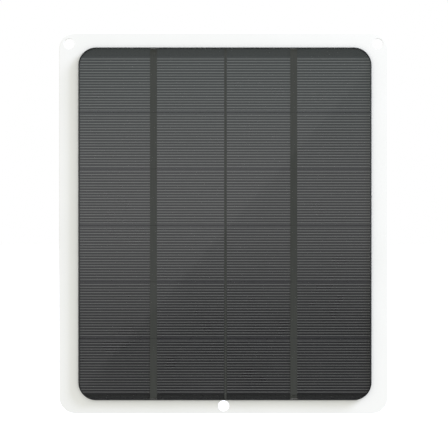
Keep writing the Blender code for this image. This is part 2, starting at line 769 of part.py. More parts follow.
def dust_cover():
    """The cover over the socket's mouth, with its barrel between the lugs, and the hinge pin."""
    middle_z = HINGE_Z + COVER_RAISE
    cover = block(
        "port_cover",
        (-COVER_HALF_W, COVER_END_Y, middle_z - COVER_T / 2),
        (COVER_HALF_W, HINGE_Y, middle_z + COVER_T / 2),
        RUBBER,
    )
    tab = block(
        "cover_tab",
        (-COVER_TAB_HALF_W, COVER_TAB_END_Y, middle_z - COVER_T / 2),
        (COVER_TAB_HALF_W, COVER_END_Y + PAST, middle_z + COVER_T / 4),
        RUBBER,
    )
    barrel = rod(
        "cover_barrel", (0, HINGE_Y, HINGE_Z), LUG_R, 2 * COVER_HALF_W, "X", RUBBER
    )
    join(cover, tab, barrel)
    bore_length = 2 * (COVER_HALF_W + PAST)
    cut(cover, rod("cover_bore", (0, HINGE_Y, HINGE_Z), PIN_BORE_R, bore_length, "X", RUBBER))
    rod("cover_pin", (0, HINGE_Y, HINGE_Z), PIN_R, 2 * LUG_X[1] - LAYER_GAP * 4, "X", STEEL)
    return [cover]


def main():
    """Makes every piece and hangs the moving ones on their joints."""
    below_bend = carrier() + laminate_layers() + cells() + ribbons() + links()
    hang(below_bend, empty("sheet_flex", (0, FLEX_Y, FLEX_Z)))
    box_shells()
    lid_screws()
    circuit_board()
    lead_wires()
    usb_socket()
    electronics()
    hang(dust_cover(), empty("port_cover_hinge", (0, HINGE_Y, HINGE_Z)))


main()
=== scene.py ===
"""Flexible solar sheet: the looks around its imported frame. Metres, X across, Y to the back, Z up."""
import json
import math

import bmesh
import bpy
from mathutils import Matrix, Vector

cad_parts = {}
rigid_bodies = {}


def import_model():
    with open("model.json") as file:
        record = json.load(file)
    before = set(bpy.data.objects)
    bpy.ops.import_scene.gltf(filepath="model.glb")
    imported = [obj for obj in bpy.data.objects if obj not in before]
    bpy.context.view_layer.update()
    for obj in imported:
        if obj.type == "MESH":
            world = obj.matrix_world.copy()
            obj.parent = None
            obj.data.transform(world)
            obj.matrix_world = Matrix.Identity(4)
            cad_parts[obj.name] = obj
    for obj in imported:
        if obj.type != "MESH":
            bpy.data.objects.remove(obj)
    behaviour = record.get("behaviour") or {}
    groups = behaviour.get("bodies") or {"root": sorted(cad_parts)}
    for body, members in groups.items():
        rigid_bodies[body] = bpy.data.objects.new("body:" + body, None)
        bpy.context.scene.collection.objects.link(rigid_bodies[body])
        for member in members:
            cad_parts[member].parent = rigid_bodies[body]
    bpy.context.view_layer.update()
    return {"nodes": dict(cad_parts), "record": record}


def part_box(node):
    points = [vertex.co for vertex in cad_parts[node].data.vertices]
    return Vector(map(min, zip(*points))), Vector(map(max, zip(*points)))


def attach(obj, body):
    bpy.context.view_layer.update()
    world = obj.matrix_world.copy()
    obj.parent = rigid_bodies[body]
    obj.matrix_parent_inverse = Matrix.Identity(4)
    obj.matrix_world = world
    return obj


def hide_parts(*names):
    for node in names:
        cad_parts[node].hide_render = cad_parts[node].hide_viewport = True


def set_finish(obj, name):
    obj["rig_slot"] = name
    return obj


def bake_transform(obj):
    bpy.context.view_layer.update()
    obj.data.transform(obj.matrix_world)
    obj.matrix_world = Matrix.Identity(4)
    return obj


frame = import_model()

UPPER, LOWER = "upper_sheet", "lower_sheet"


def joined_box(*nodes):
    """The lowest and highest corner of several CAD nodes together."""
    boxes = [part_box(node) for node in nodes]
    low = Vector(min(b[0][i] for b in boxes) for i in range(3))
    high = Vector(max(b[1][i] for b in boxes) for i in range(3))
    return low, high


def y_span(node):
    """Where a CAD node's front and rear faces lie."""
    low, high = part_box(node)
    return low.y, high.y


SHEET = joined_box("carrier_upper", "carrier_lower")
LAMINATE = joined_box("front_film_upper", "front_film_lower")
SHEET_MIDDLE = (SHEET[0] + SHEET[1]) / 2

# Sizes of the carrier that a box doesn't give. The origin is midway between its two upper holes.
# A punched hole's edge is rounded by a share of what the sheet's own edge is.
SHEET_CORNER = 0.0090
SHEET_EDGE = 0.00022
HOLE_R = 0.0029
HOLE_X = 0.0835
BOTTOM_HOLE_INSET = 0.0041
PUNCHED_EDGE_SHARE = 0.2
WIRE_SLOT_W = 0.0120
WIRE_SLOT_H = 0.0036
WIRE_SLOT_RISE = 0.0730

# The laminate: its layers, and the bead whose lip slopes over the film's edge.
LAMINATE_CORNER = 0.0096
LAYER_INSET = 0.00045
SLIT_PAST = 0.0001
SLIT_HALF_H = 0.0002
SEAL_W = 0.00035
LIP_W = 0.00042
LIP_DEPTH = 0.0003
LIP_DROP = 0.00006
LIP_ROUND = 0.00012
LIP_STEPS = 5

# The cells, with the grid lines printed across them and their bare cut edges.
ROWS = 6
ROW_PITCH = 0.0305
FINGERS = 20
FINGER_PITCH = ROW_PITCH / (FINGERS + 1)
FINGER_W = 0.0003
FINGER_T = 0.00002
FINGER_END_INSET = 0.00015
CUT_EDGE_W = 0.0008
CUT_EDGE_END_INSET = 0.00002
SPACER_GAP = 0.00002

# The ribbons: how far each starts above its cell and runs behind the next, and how its ends fold back.
RIBBON_LEAD = 0.00012
REAR_RUN = 0.0262
STEP_POINTS = 8
FOLD_START = 0.0006
FOLD_REACH = 0.0008
FOLD_ROUND = 0.0001

# The socket's contacts, and how deep the tongue's face lies in front of the insulator's rear.
CONTACT_LENGTHS = (0.0075, 0.0066, 0.0066, 0.0075)
CONTACT_PITCH = 0.0023
CONTACT_W = 0.0010
CONTACT_T = 0.00012
CONTACT_INSET = 0.0006
TONGUE_FACE = 0.0032

# The stretch of the sheet that bends, and how finely its pieces are divided along it.
BEND_START = SHEET_MIDDLE.z + 0.042
BEND_END = SHEET[0].z
BEND_STEP = 0.003
BEND_MARGIN = 0.0001

# Faces that meet at more than this angle keep a sharp edge, and points closer than this are one.
SHARP_ANGLE = math.radians(40)
MERGE_WITHIN = 1e-6
CUT_WITHIN = 1e-7


# ---------------------------------------------------------------- camera

# The view is this wide at the sheet, and centred on a point close to the laminate's middle.
VIEW_W = 0.24192
LENS = 85.0
SENSOR = 36.0
DISTANCE = VIEW_W * LENS / SENSOR
AIM_RIGHT = 0.0002
AIM_DOWN = 0.0004
AIM = Vector((AIM_RIGHT, LAMINATE[0].y, SHEET_MIDDLE.z - AIM_DOWN))


def make_camera():
    """A camera square to the sheet's front."""
    data = bpy.data.cameras.new("camera")
    data.lens = LENS
    data.sensor_width = SENSOR
    camera = bpy.data.objects.new("camera", data)
    camera.location = AIM - Vector((0, DISTANCE, 0))
    camera.rotation_euler = (math.pi / 2, 0, 0)
    bpy.context.scene.collection.objects.link(camera)
    bpy.context.scene.camera = camera


make_camera()


# ---------------------------------------------------------------- materials

# What lies under the front film carries the film's gloss as its coat.
UNDER_FILM = {"coat_weight": 1.0, "coat_roughness": 0.03, "coat_ior": 1.4}
FILM_HAZE = 0.0008
NOISE_ROUGHNESS = 0.55
CELL_IOR = 1.6
BACKING_IOR = 1.4
SEAL_IOR = 1.5
BLACK = (0.0, 0.0, 0.0)
WHITE = (1.0, 1.0, 1.0)


class Finish:
    """A Principled material and short ways to wire procedural nodes into it."""

    def __init__(self, name, **sockets):
        self.material = bpy.data.materials.new(name)
        self.material.use_nodes = True
        self.tree = self.material.node_tree
        self.shader = self.tree.nodes["Principled BSDF"]
        self.set(**sockets)
        self.coordinates = self.node("ShaderNodeTexCoord").outputs["Object"]

    def set(self, **sockets):
        """Sets the shader's own sockets: base_color=(r, g, b), coat_weight=0.5 and so on."""
        names = {s.name.lower().replace(" ", "_"): s for s in self.shader.inputs}
        for name, value in sockets.items():
            names[name].default_value = (*value, 1.0) if isinstance(value, tuple) else value

    def node(self, kind, **settings):
        made = self.tree.nodes.new(kind)
        for name, value in settings.items():
            setattr(made, name, value)
        return made

    def link(self, source, target):
        self.tree.links.new(source, target)

    def stretched(self, scale):
        """The object's coordinates, scaled along each axis."""
        mapping = self.node("ShaderNodeMapping")
        mapping.inputs["Scale"].default_value = scale
        self.link(self.coordinates, mapping.inputs["Vector"])
        return mapping.outputs["Vector"]

    def noise(self, size, detail=3.0, stretch=(1, 1, 1)):
        """Noise with features of about that size, from 0 to 1."""
        made = self.node("ShaderNodeTexNoise")
        made.inputs["Scale"].default_value = 1.0 / size
        made.inputs["Detail"].default_value = detail
        made.inputs["Roughness"].default_value = NOISE_ROUGHNESS
        self.link(self.stretched(stretch), made.inputs["Vector"])
        return made.outputs["Fac"]

    def grain(self, size):
        """Small rounded cells of about that size."""
        made = self.node("ShaderNodeTexVoronoi")
        made.inputs["Scale"].default_value = 1.0 / size
        self.link(self.coordinates, made.inputs["Vector"])
        return made.outputs["Distance"]

    def spread(self, value, low, high, start=0.3, end=0.7):
        """A value from start to end, turned into one from low to high."""
        made = self.node("ShaderNodeMapRange")
        made.inputs["From Min"].default_value = start
        made.inputs["From Max"].default_value = end
        made.inputs["To Min"].default_value = low
        made.inputs["To Max"].default_value = high
        self.link(value, made.inputs["Value"])
        return made.outputs["Result"]

    def two_colours(self, value, first, second, start=0.3, end=0.7):
        """A colour between two, by a value."""
        made = self.node("ShaderNodeValToRGB")
        low, high = made.color_ramp.elements
        low.position, high.position = start, end
        low.color, high.color = (*first, 1.0), (*second, 1.0)
        self.link(value, made.inputs["Fac"])
        return made.outputs["Color"]

    def colour_from(self, source):
        self.link(source, self.shader.inputs["Base Color"])

    def roughness_from(self, source):
        self.link(source, self.shader.inputs["Roughness"])

    def bump_from(self, source, height, strength):
        """Raised by a value, by that height in metres."""
        made = self.node("ShaderNodeBump")
        made.inputs["Strength"].default_value = strength
        made.inputs["Distance"].default_value = height
        self.link(source, made.inputs["Height"])
        self.link(made.outputs["Normal"], self.shader.inputs["Normal"])


def white_board():
    """Milky white plastic sheet with a fine frosted grain."""
    finish = Finish("white_board", specular_ior_level=0.35)
    cloud = finish.noise(0.045, detail=2.0)
    finish.colour_from(finish.two_colours(cloud, (0.856, 0.860, 0.805), (0.880, 0.882, 0.830)))
    finish.roughness_from(finish.spread(finish.noise(0.004), 0.42, 0.55))
    finish.bump_from(finish.noise(0.00045, detail=4.0), 0.00001, 0.5)
    return finish.material


def clear_film():
    """The clear front film and the layer that bonds it. What lies under it carries its gloss."""
    finish = Finish("clear_film", alpha=FILM_HAZE, specular_ior_level=0.0)
    cloud = finish.noise(0.03)
    finish.colour_from(finish.two_colours(cloud, (0.070, 0.072, 0.070), (0.085, 0.087, 0.085)))
    finish.roughness_from(finish.spread(finish.noise(0.02), 0.025, 0.045))
    return finish.material


def black_layer():
    """The black layer behind the cells."""
    finish = Finish("black_layer", ior=BACKING_IOR, **UNDER_FILM)
    weave = finish.noise(0.0006, detail=4.0)
    finish.colour_from(finish.two_colours(weave, (0.018, 0.0185, 0.018), (0.025, 0.026, 0.025)))
    finish.roughness_from(finish.spread(weave, 0.26, 0.34))
    finish.bump_from(weave, 0.000004, 0.3)
    return finish.material


def black_seal():
    """The black bead round the laminate's edge."""
    finish = Finish("black_seal", ior=SEAL_IOR, **UNDER_FILM)
    fine = finish.noise(0.0008)
    finish.colour_from(finish.two_colours(fine, (0.020, 0.021, 0.020), (0.030, 0.031, 0.030)))
    finish.roughness_from(finish.spread(fine, 0.35, 0.5))
    return finish.material


def silicon():
    """Dark silicon under its blue-grey coating, with faint drawing marks along the wafer."""
    finish = Finish("silicon", ior=CELL_IOR, **UNDER_FILM)
    cloud = finish.noise(0.022, detail=3.0)
    marks = finish.noise(0.0011, detail=3.0, stretch=(0.03, 1, 1))
    finish.colour_from(finish.two_colours(cloud, (0.0102, 0.0102, 0.0106), (0.0136, 0.0136, 0.0142)))
    finish.roughness_from(finish.spread(cloud, 0.27, 0.30))
    finish.bump_from(marks, 0.000001, 0.1)
    return finish.material


def cut_edge():
    """The bare strip along a cell's cut edges, a little greyer than the coated face."""
    finish = Finish("cut_edge", ior=CELL_IOR, **UNDER_FILM)
    grain = finish.noise(0.004, detail=2.0)
    finish.colour_from(finish.two_colours(grain, (0.027, 0.027, 0.028), (0.030, 0.030, 0.031)))
    finish.roughness_from(finish.spread(grain, 0.27, 0.31))
    return finish.material


def printed_silver():
    """The silver paste of the printed grid lines, dulled by the layers over it."""
    finish = Finish("printed_silver", ior=CELL_IOR, **UNDER_FILM)
    grain = finish.noise(0.004, detail=2.0)
    finish.colour_from(finish.two_colours(grain, (0.136, 0.1375, 0.1293), (0.144, 0.1455, 0.1368)))
    finish.roughness_from(finish.spread(grain, 0.28, 0.31))
    return finish.material


def ribbon():
    """Flat copper ribbon with a dark matt coat and fine lengthwise scratches."""
    finish = Finish("ribbon", specular_ior_level=0.0, **UNDER_FILM)
    scratches = finish.noise(0.0005, detail=4.0, stretch=(1, 1, 0.04))
    finish.colour_from(finish.two_colours(scratches, (0.0465, 0.0490, 0.0430), (0.0542, 0.0567, 0.0495)))
    finish.roughness_from(finish.spread(scratches, 0.5, 0.7))
    finish.bump_from(scratches, 0.000004, 0.4)
    return finish.material


def foam_tape():
    """Grey-white foam tape with an open-pored cut edge, each pore's middle painted darker as painted shade.
    """
    finish = Finish("foam_tape", roughness=0.9, specular_ior_level=0.2)
    pore_pits_and_shade = finish.grain(0.00035)
    # Painted shade: the colour darkens towards each pore's middle, where the bump sinks deepest.
    finish.colour_from(finish.two_colours(pore_pits_and_shade, (0.42, 0.42, 0.41), (0.70, 0.70, 0.69), 0.0, 0.5))
    finish.bump_from(pore_pits_and_shade, 0.00008, 0.6)
    return finish.material


def moulded(name, dark, light, roughness, grain, height):
    """Moulded plastic with a spark-eroded grain."""
    finish = Finish(name, specular_ior_level=0.45)
    cloud = finish.noise(0.012)
    finish.colour_from(finish.two_colours(cloud, dark, light))
    finish.roughness_from(finish.spread(finish.noise(0.002), *roughness))
    finish.bump_from(finish.grain(grain), height, 0.5)
    return finish.material


def plated(name, dark, light, roughness):
    """Plated metal with fine marks."""
    finish = Finish(name, metallic=1.0)
    marks = finish.noise(0.0003, detail=5.0)
    finish.colour_from(finish.two_colours(marks, dark, light))
    finish.roughness_from(finish.spread(marks, *roughness))
    finish.bump_from(marks, 0.000004, 0.3)
    return finish.material


def circuit_board():
    """Green solder mask over copper tracks, with the glass weave under it."""
    finish = Finish("circuit_board", coat_weight=0.4, coat_roughness=0.15)
    weave = finish.noise(0.0004, detail=2.0)
    track_size = 0.0045
    tracks = finish.node("ShaderNodeTexVoronoi", feature="DISTANCE_TO_EDGE", distance="MANHATTAN")
    tracks.inputs["Scale"].default_value = 1.0 / track_size
    finish.link(finish.coordinates, tracks.inputs["Vector"])
    copper, mask = (0.030, 0.22, 0.085), (0.010, 0.105, 0.040)
    finish.colour_from(finish.two_colours(tracks.outputs["Distance"], copper, mask, 0.05, 0.09))
    finish.roughness_from(finish.spread(weave, 0.35, 0.5))
    finish.bump_from(weave, 0.000006, 0.4)
    return finish.material


# Each moulding's darker and lighter tone, its range of roughness, and its grain's size and height.
MOULDINGS = {
    "box_plastic": ((0.022, 0.022, 0.024), (0.032, 0.032, 0.034), (0.42, 0.56), 0.00035, 0.00002),
    "rubber": ((0.024, 0.024, 0.025), (0.036, 0.036, 0.037), (0.62, 0.78), 0.0002, 0.00001),
    "white_plastic": ((0.74, 0.74, 0.72), (0.80, 0.80, 0.78), (0.35, 0.5), 0.0005, 0.000008),
    "chip_plastic": ((0.018, 0.018, 0.019), (0.028, 0.028, 0.029), (0.5, 0.65), 0.0001, 0.000008),
    "ferrite": ((0.045, 0.045, 0.048), (0.075, 0.075, 0.078), (0.55, 0.7), 0.00025, 0.00003),
    "wire_sleeve_red": ((0.42, 0.02, 0.02), (0.52, 0.03, 0.03), (0.4, 0.5), 0.0004, 0.000005),
    "wire_sleeve_black": ((0.02, 0.02, 0.02), (0.03, 0.03, 0.03), (0.4, 0.5), 0.0004, 0.000005),
}

FINISHES = {
    "white_board": white_board(),
    "clear_film": clear_film(),
    "black_layer": black_layer(),
    "black_seal": black_seal(),
    "silicon": silicon(),
    "ribbon": ribbon(),
    "foam_tape": foam_tape(),
    "circuit_board": circuit_board(),
    "steel": plated("steel", (0.48, 0.48, 0.49), (0.62, 0.62, 0.62), (0.22, 0.38)),
    "can_metal": plated("can_metal", (0.60, 0.60, 0.61), (0.74, 0.74, 0.75), (0.22, 0.38)),
}
FINISHES["clear_layer"] = FINISHES["clear_film"]
FINISHES.update((name, moulded(name, *look)) for name, look in MOULDINGS.items())
SILVER = printed_silver()
CUT_EDGE = cut_edge()
GOLD = plated("gold_plate", (0.75, 0.50, 0.18), (0.86, 0.62, 0.26), (0.18, 0.3))


# ---------------------------------------------------------------- outlines

def arc(cx, cz, radius, start, end, steps):
    """Points along an arc, in degrees from +X towards +Z, both ends included."""
    angles = [math.radians(start + (end - start) * i / steps) for i in range(steps + 1)]
    return [(cx + radius * math.cos(a), cz + radius * math.sin(a)) for a in angles]


def rounded(low, high, radius, inset, steps=14):
    """A rounded rectangle between two corners, anticlockwise from its lower left."""
    left, right = low[0] + radius, high[0] - radius
    bottom, top = low[1] + radius, high[1] - radius
    r = radius - inset
    corners = ((left, bottom, 180), (right, bottom, 270), (right, top, 0), (left, top, 90))
    return [point for x, z, start in corners for point in arc(x, z, r, start, start + 90, steps)]


def rounded_loop(box, radius, inset=0.0):
    """The outline of a CAD box seen from the front, as a function of a further inset."""
    low, high = (box[0].x, box[0].z), (box[1].x, box[1].z)
    return lambda edge: rounded(low, high, radius, inset + edge)


def hole_loop(x, z, radius, steps=56):
    """A punched hole's outline. Its edge is rounded less than the plate's own."""
    return lambda edge: arc(x, z, radius + edge * PUNCHED_EDGE_SHARE, 0, 360, steps)[:-1]


def slot_loop(left, right, bottom, top):
    """A rectangular hole's outline, which widens where the plate's edge is rounded."""
    corners = ((left, bottom, -1, -1), (right, bottom, 1, -1), (right, top, 1, 1), (left, top, -1, 1))
    return lambda edge: [(x + across * edge, z + up * edge) for x, z, across, up in corners]


def clipped(points, axis, limit, sign):
    """The part of a convex outline on one side of a line across an axis."""
    kept = []
    for before, after in zip(points, points[1:] + points[:1]):
        inside_before, inside_after = ((p[axis] - limit) * sign >= 0 for p in (before, after))
        if inside_before:
            kept.append(before)
        if inside_before != inside_after:
            share = (limit - before[axis]) / (after[axis] - before[axis])
            kept.append(tuple(b + (a - b) * share for b, a in zip(before, after)))
    return kept


# ---------------------------------------------------------------- meshes

def bend_levels(low, high):
    """The heights at which a piece between two heights is divided, so that it can bend."""
    count = int(math.ceil((BEND_START - BEND_END) / BEND_STEP))
    heights = [BEND_START - BEND_STEP * i for i in range(count + 1)]
    return [z for z in heights if low + BEND_MARGIN < z < high - BEND_MARGIN]


def divide(shape):
    """Cuts a bmesh along level lines where the sheet bends."""
    heights = [v.co.z for v in shape.verts]
    for z in bend_levels(min(heights), max(heights)):
        geometry = shape.verts[:] + shape.edges[:] + shape.faces[:]
        bmesh.ops.bisect_plane(shape, geom=geometry, dist=CUT_WITHIN, plane_co=(0, 0, z), plane_no=(0, 0, 1))


def finish_mesh(name, shape, *materials):
    """An object in the scene from a bmesh, smooth over its rounded edges."""
    bmesh.ops.recalc_face_normals(shape, faces=shape.faces)
    mesh = bpy.data.meshes.new(name)
    shape.to_mesh(mesh)
    shape.free()
    for material in materials:
        mesh.materials.append(material)
    mesh.shade_smooth()
    mesh.set_sharp_from_angle(angle=SHARP_ANGLE)
    piece = bpy.data.objects.new(name, mesh)
    bpy.context.scene.collection.objects.link(piece)
    normals = piece.modifiers.new("weighted_normals", "WEIGHTED_NORMAL")
    normals.keep_sharp = True
    return piece


def edge_profile(front, back, edge, steps=4):
    """Inset and Y from the front face's rim, round the rounded edges, to the rear face's rim."""
    if not edge:
        return [(0.0, front), (0.0, back)]
    turns = [math.pi / 2 * i / steps for i in range(steps + 1)]
    near = [(edge * (1 - math.sin(a)), front + edge * (1 - math.cos(a))) for a in turns]
    far = [(inset, back - (y - front)) for inset, y in reversed(near)]
    return near + far


def add_plate(shape, loops, front, back, edge=0.0):
    """Adds a plate to a bmesh. Each loop is a function of an inset, the outline first and then its holes."""
    profile = edge_profile(front, back, edge)
    rims = ([], [])
    for loop in loops:
        rings = [[shape.verts.new((x, y, z)) for x, z in loop(inset)] for inset, y in profile]
        for near, far in zip(rings, rings[1:]):
            for i in range(len(near)):
                shape.faces.new((near[i - 1], near[i], far[i], far[i - 1]))
        for rim, ring in zip(rims, (rings[0], rings[-1])):
            rim += [shape.edges.get((ring[i - 1], ring[i])) for i in range(len(ring))]
    for rim in rims:
        bmesh.ops.triangle_fill(shape, use_beauty=True, edges=rim)


def plate(name, finish, loops, front, back, edge=0.0):
    """A plate as one piece, divided where the sheet bends."""
    shape = bmesh.new()
    add_plate(shape, loops, front, back, edge)
    divide(shape)
    return finish_mesh(name, shape, FINISHES[finish])


def add_block(shape, low, high, material_index=0):
    """Adds a box between two corners to a bmesh."""
    made = bmesh.ops.create_cube(shape, size=1)["verts"]
    for vertex in made:
        vertex.co = Vector(low[i] + (high[i] - low[i]) * (vertex.co[i] + 0.5) for i in range(3))
    for face in {f for v in made for f in v.link_faces}:
        face.material_index = material_index


def add_strip(shape, route, left, right, thickness):
    """Adds a flat ribbon to a bmesh that follows a route of (y, z) points."""
    rings = []
    for i, (y, z) in enumerate(route):
        before, after = route[max(i - 1, 0)], route[min(i + 1, len(route) - 1)]
        along = Vector((0, after[0] - before[0], after[1] - before[1])).normalized()
        across = Vector((0, -along.z, along.y)) * (thickness / 2)
        front, back = Vector((0, y, z)) - across, Vector((0, y, z)) + across
        corners = [(left, *front.yz), (right, *front.yz), (right, *back.yz), (left, *back.yz)]
        rings.append([shape.verts.new(corner) for corner in corners])
    for near, far in zip(rings, rings[1:]):
        for i in range(4):
            shape.faces.new((near[i - 1], near[i], far[i], far[i - 1]))
    shape.faces.new(rings[0])
    shape.faces.new(reversed(rings[-1]))


def bend_with_sheet(piece, slot, *nodes):
    """Bakes the piece's placement into its mesh, gives it that slot and hides those CAD nodes, which it
    stands for.
    """
    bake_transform(piece)
    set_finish(piece, slot)
    if nodes:
        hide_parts(*nodes)


def halves(name):
    """The two CAD nodes that stand for one piece of the sheet."""
    return name + "_upper", name + "_lower"


# ---------------------------------------------------------------- the sheet and its laminate

def carrier_sheet():
    """The white sheet with its three punched holes and the slot behind the cells for the wires."""
    slot_middle = SHEET_MIDDLE.z + WIRE_SLOT_RISE
    slot_low, slot_high = slot_middle - WIRE_SLOT_H / 2, slot_middle + WIRE_SLOT_H / 2
    loops = [
        rounded_loop(SHEET, SHEET_CORNER),
        hole_loop(-HOLE_X, 0, HOLE_R),
        hole_loop(HOLE_X, 0, HOLE_R),
        hole_loop(0, SHEET[0].z + BOTTOM_HOLE_INSET, HOLE_R),
        slot_loop(-WIRE_SLOT_W / 2, WIRE_SLOT_W / 2, slot_low, slot_high),
    ]
    piece = plate("carrier_sheet", "white_board", loops, SHEET[0].y, SHEET[1].y, SHEET_EDGE)
    bend_with_sheet(piece, "white_board", *halves("carrier"))


def front_film():
    """The front film and the clear layer under it, as one slab."""
    front, rear = y_span("front_film_upper")[0], y_span("clear_layer_upper")[1]
    piece = plate("front_film", "clear_film", [rounded_loop(LAMINATE, LAMINATE_CORNER, LIP_W)], front, rear)
    bend_with_sheet(piece, "clear_film", *halves("front_film"), *halves("clear_layer"))


def lip_section():
    """The bead's section, as insets and Y: up its outside, over the lip and down its inside."""
    front, rear = LAMINATE[0].y, y_span("edge_seal_upper")[1]
    shoulder = front + LIP_DROP
    section = [(0.0, rear), (0.0, shoulder + LIP_ROUND), (LIP_ROUND / 3, shoulder + LIP_ROUND / 3)]
    for i in range(LIP_STEPS + 1):
        share = i / LIP_STEPS
        section.append((LIP_ROUND + (LIP_W - LIP_ROUND) * share, front + LIP_DROP * (1 - share) ** 2))
    return section + [(LIP_W, front + LIP_DEPTH), (SEAL_W, front + LIP_DEPTH), (SEAL_W, rear)]


def edge_seal():
    """The black bead round the laminate."""
    shape = bmesh.new()
    loop = rounded_loop(LAMINATE, LAMINATE_CORNER)
    rings = [[shape.verts.new((x, y, z)) for x, z in loop(inset)] for inset, y in lip_section()]
    for near, far in zip(rings, rings[1:] + rings[:1]):
        for i in range(len(near)):
            shape.faces.new((near[i - 1], near[i], far[i], far[i - 1]))
    divide(shape)
    piece = finish_mesh("edge_seal", shape, FINISHES["black_seal"])
    bend_with_sheet(piece, "black_seal", *halves("edge_seal"))


def black_backing():
    """The black layer behind the cells, with a slit for each end of the two strings."""
    loops = [rounded_loop(LAMINATE, LAMINATE_CORNER, LAYER_INSET)]
    for side in ("left", "right"):
        top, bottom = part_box(f"ribbon_{side}_top"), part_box(f"ribbon_{side}_bottom")
        for z in (top[1].z, bottom[0].z):
            left, right = top[0].x - SLIT_PAST, top[1].x + SLIT_PAST
            loops.append(slot_loop(left, right, z - SLIT_HALF_H, z + SLIT_HALF_H))
    piece = plate("black_layer", "black_layer", loops, *y_span("black_layer_upper"))
    bend_with_sheet(piece, "black_layer", *halves("black_layer"))


def span_at(z):
    """From where to where the layers inside the bead reach at a height."""
    r = LAMINATE_CORNER - LAYER_INSET
    left, right = LAMINATE[0].x + LAYER_INSET, LAMINATE[1].x - LAYER_INSET
    depth = max(LAMINATE[0].z + LAYER_INSET + r - z, z - (LAMINATE[1].z - LAYER_INSET - r), 0.0)
    cut = r - math.sqrt(max(r * r - depth * depth, 0.0))
    return left + cut, right - cut


def cell(side, row):
    """One strip cell: a thin wafer, the silver lines printed across it, and its bare cut edges."""
    name = f"cell_{side}_{row}"
    low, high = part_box(name)
    outline = rounded_loop(LAMINATE, LAMINATE_CORNER, LAYER_INSET)(0.0)
    for axis, limit, sign in ((0, low.x, 1), (0, high.x, -1), (1, low.z, 1), (1, high.z, -1)):
        outline = clipped(outline, axis, limit, sign)
    shape = bmesh.new()
    add_plate(shape, [lambda edge: outline], low.y, high.y)
    divide(shape)

    def add_line(z, width, inset, material_index):
        left, right = span_at(z)
        left, right = max(left, low.x) + inset, min(right, high.x) - inset
        front, back = low.y - FINGER_T, low.y + FINGER_T / 2
        add_block(shape, (left, front, z - width / 2), (right, back, z + width / 2), material_index)

    middle = (low.z + high.z) / 2
    for i in range(FINGERS):
        add_line(middle + FINGER_PITCH * (i - (FINGERS - 1) / 2), FINGER_W, FINGER_END_INSET, 1)
    if row > 1:
        add_line(high.z - CUT_EDGE_W / 2, CUT_EDGE_W, CUT_EDGE_END_INSET, 2)
    if row < ROWS:
        add_line(low.z + CUT_EDGE_W / 2, CUT_EDGE_W, CUT_EDGE_END_INSET, 2)
    piece = finish_mesh(name + "_wafer", shape, FINISHES["silicon"], SILVER, CUT_EDGE)
    bend_with_sheet(piece, "silicon", name)


def cells():
    """The twelve cells, column by column."""
    for side in ("left", "right"):
        for row in range(1, ROWS + 1):
            cell(side, row)


def column_spacer():
    """The dark strip between the two columns of cells."""
    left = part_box("cell_left_1")[1].x + SPACER_GAP
    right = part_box("cell_right_1")[0].x - SPACER_GAP
    loop = slot_loop(left, right, LAMINATE[0].z + LAYER_INSET, LAMINATE[1].z - LAYER_INSET)
    piece = plate("column_spacer", "ribbon", [loop], *y_span("cell_left_1"))
    bend_with_sheet(piece, "ribbon")


def smooth_step(y_from, y_to, z_from, z_to):
    """A soft S from one level to another between two heights."""
    route = []
    for i in range(STEP_POINTS + 1):
        share = i / STEP_POINTS
        eased = share * share * (3 - 2 * share)
        route.append((y_from + (y_to - y_from) * eased, z_from + (z_to - z_from) * share))
    return route


def run_between(y, z_from, z_to):
    """Points along a straight run, close enough together to bend."""
    count = max(2, math.ceil(abs(z_to - z_from) / BEND_STEP))
    return [(y, z_from + (z_to - z_from) * i / count) for i in range(count + 1)]


def fold(y, link, end, inward):
    """The way from a ribbon's level through the slit at its end to the links' level."""
    return [
        (y + FOLD_ROUND, end + inward * 2 * FOLD_ROUND),
        (link - FOLD_ROUND, end + inward * FOLD_ROUND),
        (link, end + inward * FOLD_REACH),
    ]


def ribbon_routes(side):
    """Where the ribbons of one string run, as lists of (y, z) points.

    The left string runs down the sheet and the right one up it. The first ribbon comes through the
    black layer and runs behind the first cell. Each of the next runs over one cell and behind the one
    after it. The last runs over the last cell and back through the black layer.
    """
    levels = ("ribbon_left_4_above", "ribbon_left_4_below", "string_link")
    front, rear, link = (sum(y_span(node)) / 2 for node in levels)
    start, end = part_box(f"ribbon_{side}_top")[1].z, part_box(f"ribbon_{side}_bottom")[0].z
    boxes = [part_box(f"cell_{side}_{row}") for row in range(1, ROWS + 1)]
    spans = [(high.z, low.z) for low, high in boxes]
    way = -1
    if side == "right":
        start, end = end, start
        spans = [(far, near) for near, far in reversed(spans)]
        way = 1
    behind_first = run_between(rear, start + way * FOLD_START, spans[0][0] + way * REAR_RUN)
    routes = [fold(rear, link, start, way)[::-1] + behind_first]
    for (near, far), (next_near, _) in zip(spans, spans[1:]):
        route = run_between(front, near - way * RIBBON_LEAD, far)
        route += smooth_step(front, rear, far, next_near)[1:]
        route += run_between(rear, next_near, next_near + way * REAR_RUN)[1:]
        routes.append(route)
    over_last = run_between(front, spans[-1][0] - way * RIBBON_LEAD, end - way * FOLD_START)
    routes.append(over_last + fold(front, link, end, -way))
    return routes


def ribbons():
    """The interconnect ribbons of both strings."""
    near, far = y_span("string_link")
    for side in ("left", "right"):
        nodes = [node for node in frame["nodes"] if node.startswith(f"ribbon_{side}_")]
        low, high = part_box(nodes[0])
        shape = bmesh.new()
        for route in ribbon_routes(side):
            add_strip(shape, route, low.x, high.x, far - near)
        piece = finish_mesh(f"ribbon_{side}", shape, FINISHES["ribbon"])
        bend_with_sheet(piece, "ribbon", *nodes)


